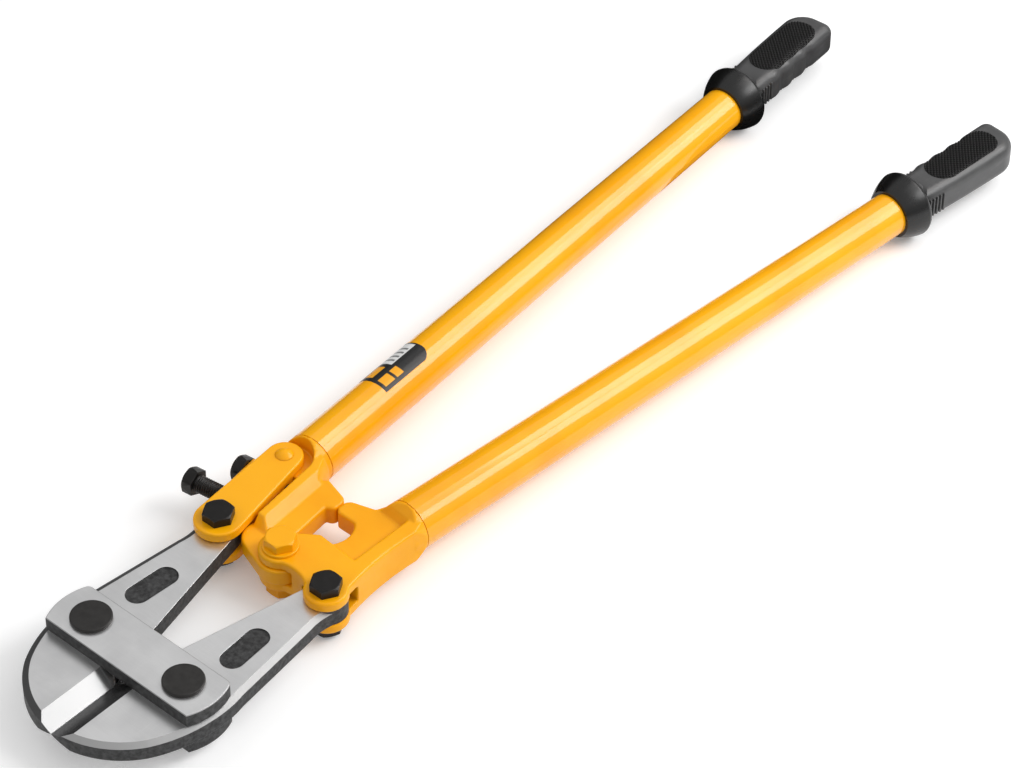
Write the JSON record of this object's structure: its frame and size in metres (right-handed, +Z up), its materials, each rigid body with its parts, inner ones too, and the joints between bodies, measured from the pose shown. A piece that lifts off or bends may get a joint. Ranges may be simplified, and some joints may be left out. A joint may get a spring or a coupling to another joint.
{
  "type": "bolt cutters",
  "caption": "Long-handled compound-lever bolt cutters, closed, with centre-cut steel jaws, cross straps, yellow handles, black grips and screw adjusters.",
  "frame": {"origin": "on the axis of the centre pivot bolt, on the plane the tool rests on", "axes": "+Y from the jaws to the grips, +Z up through the pivots, +X to the right-hand side seen from above with the jaws nearest"},
  "size_m": [0.2256, 0.9135, 0.0514],
  "materials": {
    "yellow_enamel": "glossy yellow enamel on forged heads, link plates and tubes",
    "ground_steel": "ground tool steel with a light satin grain",
    "black_oxide": "black oxide on bolts, screws and rivets",
    "grip_rubber": "moulded black rubber, satin"
  },
  "bodies": {
    "left_handle": {"left_head": "yellow_enamel", "left_tube": "yellow_enamel", "left_grip": "grip_rubber", "top_link": "yellow_enamel", "bottom_link": "yellow_enamel", "link_rivet": "yellow_enamel", "link_block": "yellow_enamel", "left_tail_bolt": "black_oxide", "left_tail_nut": "black_oxide"},
    "right_handle": {"right_head": "yellow_enamel", "right_tube": "yellow_enamel", "right_grip": "grip_rubber", "right_tail_bolt": "black_oxide", "right_tail_nut": "black_oxide", "pivot_bolt": "yellow_enamel", "pivot_washers": "yellow_enamel", "pivot_nut": "yellow_enamel"},
    "left_jaw": {"left_jaw": "ground_steel"},
    "right_jaw": {"right_jaw": "ground_steel"},
    "straps": {"top_strap": "ground_steel", "bottom_strap": "ground_steel", "left_jaw_rivet": "black_oxide", "right_jaw_rivet": "black_oxide"},
    "jack_screw": {"jack_screw": "black_oxide"},
    "clamp_screw": {"clamp_screw": "black_oxide"}
  },
  "joints": [
    {"name": "handle_fold", "type": "hinge", "parent": "left_handle", "child": "right_handle", "pos_m": [0, 0, 0.0257], "axis": [0, 0, -1], "range_deg": [0, 80]},
    {"name": "right_jaw_pivot", "type": "hinge", "parent": "right_handle", "child": "right_jaw", "pos_m": [0.0502, -0.0084, 0.0257], "axis": [0, 0, 1], "range_deg": [0, 47]},
    {"name": "left_jaw_pivot", "type": "hinge", "parent": "left_handle", "child": "left_jaw", "pos_m": [-0.0502, -0.0084, 0.0257], "axis": [0, 0, -1], "range_deg": [0, 47]},
    {"name": "strap_pivot", "type": "hinge", "parent": "left_jaw", "child": "straps", "pos_m": [-0.043, -0.1337, 0.0257], "axis": [0, 0, 1], "range_deg": [0, 7]},
    {"name": "jack_travel", "type": "slide", "parent": "left_handle", "child": "jack_screw", "axis": [-0.991, -0.1341, 0], "range_m": [0, 0.012]},
    {"name": "clamp_travel", "type": "slide", "parent": "left_handle", "child": "clamp_screw", "axis": [-0.991, -0.1341, 0], "range_m": [0, 0.012]}
  ],
  "couplings": [
    {"joint": "right_jaw_pivot", "follows": "handle_fold", "ratio": 0.5873},
    {"joint": "left_jaw_pivot", "follows": "handle_fold", "ratio": 0.5873},
    {"joint": "strap_pivot", "follows": "handle_fold", "ratio": 0.0873}
  ]
}
